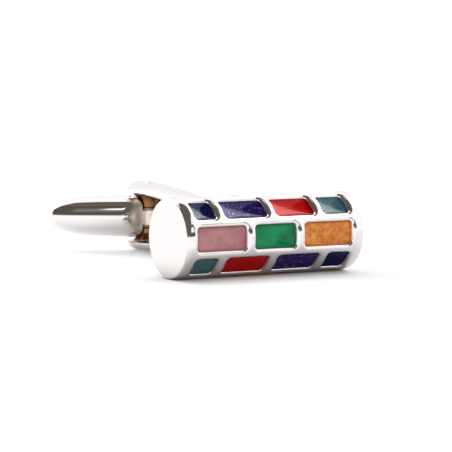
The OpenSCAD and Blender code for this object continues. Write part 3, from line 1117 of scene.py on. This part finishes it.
def build_floor():
    """A white plane that touches the barrel and the lower leg's tip:
    z = -R / cos a + tan a (y - barrel y). Its glow fades with the share of open sky."""
    material, paint = new_paint("white_paper")
    place = paint.node("TexCoord", out="Object")
    x, y, _ = paint.split(place)
    tooth = paint.noise(place, TOOTH_MM, detail=3.0)
    bump = paint.node("Bump", Strength=0.1, Distance=TOOTH_DEPTH_MM * MM, Height=tooth)
    bright = paint.node("BsdfDiffuse", Color=PAPER_BRIGHT, Normal=bump)
    sky = paint.node("AmbientOcclusion", {"samples": 8}, out="AO", Distance=PAPER_REACH_MM * MM)
    # Painted contact shade: the metal's paper darkens where the sky is shut out
    contact = paint.mix(paint.steps(sky, *CONTACT_SKY), PAPER_CONTACT_SHADE, PAPER_PLAIN)
    plain = paint.node("BsdfDiffuse", Color=contact, Normal=bump)
    shade = paint.mix(paint.steps(y, *BEHIND_Y), PAPER_SHADE, PAPER_SHADE_BEHIND)
    # Painted shade: the open paper darkens towards the right
    open_sky = paint.mix(paint.steps(x, *RIGHT_X), PAPER_OPEN, PAPER_SHADE_RIGHT)
    glow = paint.node("Emission", Color=paint.mix(sky, shade, open_sky), Strength=PAPER_GLOW)
    paper = paint.node("MixShader", Fac=PAPER_SHARE, i1=glow, i2=bright)
    # Painted shade in the reflection: the metal sees darker paper near the cufflink
    away = paint.node("VectorMath", {"operation": "LENGTH"}, out="Value", i0=place)
    far = paint.steps(away, *MIRRORED_AWAY)
    mirrored = paint.node("LightPath", out="Is Glossy Ray")
    mirrored = mirrored * (far * (MIRRORED_FAR - MIRRORED_NEAR) + MIRRORED_NEAR)
    light = paint.node("LightPath", out="Is Camera Ray")
    light = light.math("MAXIMUM", paint.node("LightPath", out="Is Transmission Ray"))
    seen = mirrored.math("MAXIMUM", light)
    paint.finish(paint.node("MixShader", Fac=seen, i1=plain, i2=paper))
    lean = math.atan2(BARREL_R - LEG_CREST + TIP_PRESS, POST_LEN + LEG_PEAK - BARREL_Y)
    y = np.array([-FLOOR_HALF_M, FLOOR_HALF_M])
    z = -BARREL_R * MM / math.cos(lean) + math.tan(lean) * (y - BARREL_Y * MM)
    mesh = bpy.data.meshes.new("paper")
    corners = [(side * FLOOR_HALF_M, y[k], z[k]) for side, k in ((-1, 0), (1, 0), (1, 1), (-1, 1))]
    mesh.from_pydata(corners, [], [(0, 1, 2, 3)])
    mesh.materials.append(material)
    floor = bpy.data.objects.new("paper", mesh)
    bpy.context.scene.collection.objects.link(floor)
    return floor


floor = build_floor()
print("floor leans to z", [round(v.co.z, 4) for v in floor.data.vertices])

# %% [markdown]
# ## The light tent
#
# Polished metal shows the room, and the room is what gives this photo its look. The tent's walls
# are white, with a pale lilac backdrop low at the back. In front and to the left is the dark room
# beyond the tent's opening, with a lamp's small reflector and a white card in it. Overhead is the
# tent's dark top, whose edge rises in a curve towards the right. A softbox shines from the right,
# and a second light from the back left. Lamps could be modelled, but would cost noise and time,
# so each light is a soft-edged window in azimuth and elevation on the world itself. To the camera
# alone the backdrop is plain white.

# %% World
TENT_WALL = (1.04, 1.035, 1.04)
BACKDROP = (0.95, 0.90, 0.97)
DARK_ROOM = (0.10, 0.083, 0.07)
DARK_TOP = (0.12, 0.10, 0.09)

# Windows, each laid over those before it: left and right azimuth, low and high elevation and the
# soft edges' half width, all in degrees, then share and colour
ROOM = (
    (100, 185, -10, 30, 7, 1, BACKDROP),            # backdrop behind, to the right
    (-138, 22, 9, 71, 5, 1, DARK_ROOM),             # room beyond the tent's opening
    (6, 31.5, 8, 38, 1.5, 1, DARK_ROOM),            # its sharp right side
    (-60, -25, 30, 48, 6, 0.13, (0.9, 0.9, 0.92)),  # faint shine around the lamp
    (-41, -24, 40, 48, 2.5, 1, (1.5, 1.5, 1.52)),   # the lamp's reflector
    (12, 27, 18, 31, 2.5, 1, (1.0, 1.0, 1.0)),      # white card
)
LIGHTS = (
    (-150, -15, 68, 95, 4, 1, DARK_TOP),            # the top's left part
    (90, 124, 24, 58, 2, 1, (3.8, 3.8, 3.9)),       # softbox at the right
    (-172, -142, 18, 48, 5, 1, (4.5, 4.4, 4.3)),    # light at the back left
)
# The tent's top reaches down to high - drop * exp((from - azimuth) / run), within a window
TOP_HIGH = 60.8
TOP_DROP = 14.8
TOP_FROM = 28
TOP_RUN = 16
TOP_SOFT = 1
TOP_WINDOW = (-20, 150, 9, 120, 5)


def build_world():
    """The light tent as the world's colour, from the azimuth atan2(x, -y) and the elevation
    asin(z) of each direction."""
    world = bpy.data.worlds.new("light_tent")
    bpy.context.scene.world = world
    paint = Paint(world, "ShaderNodeOutputWorld")
    x, y, z = paint.split(paint.node("TexCoord", out="Generated"))
    degrees = math.degrees(1)
    azimuth = x.math("ARCTAN2", y * -1) * degrees
    elevation = z.math("ARCSINE") * degrees

    def band(angle, low, high, soft):
        """1 between two angles, 0 outside them."""
        rise = paint.steps(angle, low - soft, low + soft)
        return rise * (1 - paint.steps(angle, high - soft, high + soft))

    def window(left, right, low, high, soft):
        """1 in a window between two azimuths and two elevations, 0 outside it."""
        return band(azimuth, left, right, soft) * band(elevation, low, high, soft)

    def lay(colour, windows):
        """A colour with windows laid over it, one after another."""
        for *edges, share, shade in windows:
            colour = paint.mix(window(*edges) * share, colour, shade)
        return colour

    top_edge = TOP_HIGH - TOP_DROP * ((TOP_FROM - azimuth) * (1 / TOP_RUN)).math("EXPONENT")
    top = paint.steps(elevation - top_edge, -TOP_SOFT, TOP_SOFT) * window(*TOP_WINDOW)
    colour = paint.mix(top, lay(TENT_WALL, ROOM), DARK_TOP)
    colour = lay(colour, LIGHTS)
    tent = paint.node("Background", Color=colour, Strength=1.0)
    backdrop = paint.node("Background", Color=(1.0, 1.0, 1.0), Strength=1.0)
    seen = paint.node("LightPath", out="Is Camera Ray")
    paint.finish(paint.node("MixShader", Fac=seen, i1=tent, i2=backdrop))


build_world()
bpy.context.scene.view_settings.view_transform = "Standard"
print("light tent ready")

# %% [markdown]
# ## The end
#
# The looks should fill the same box as the measured model.

# %% End
print("scene built")
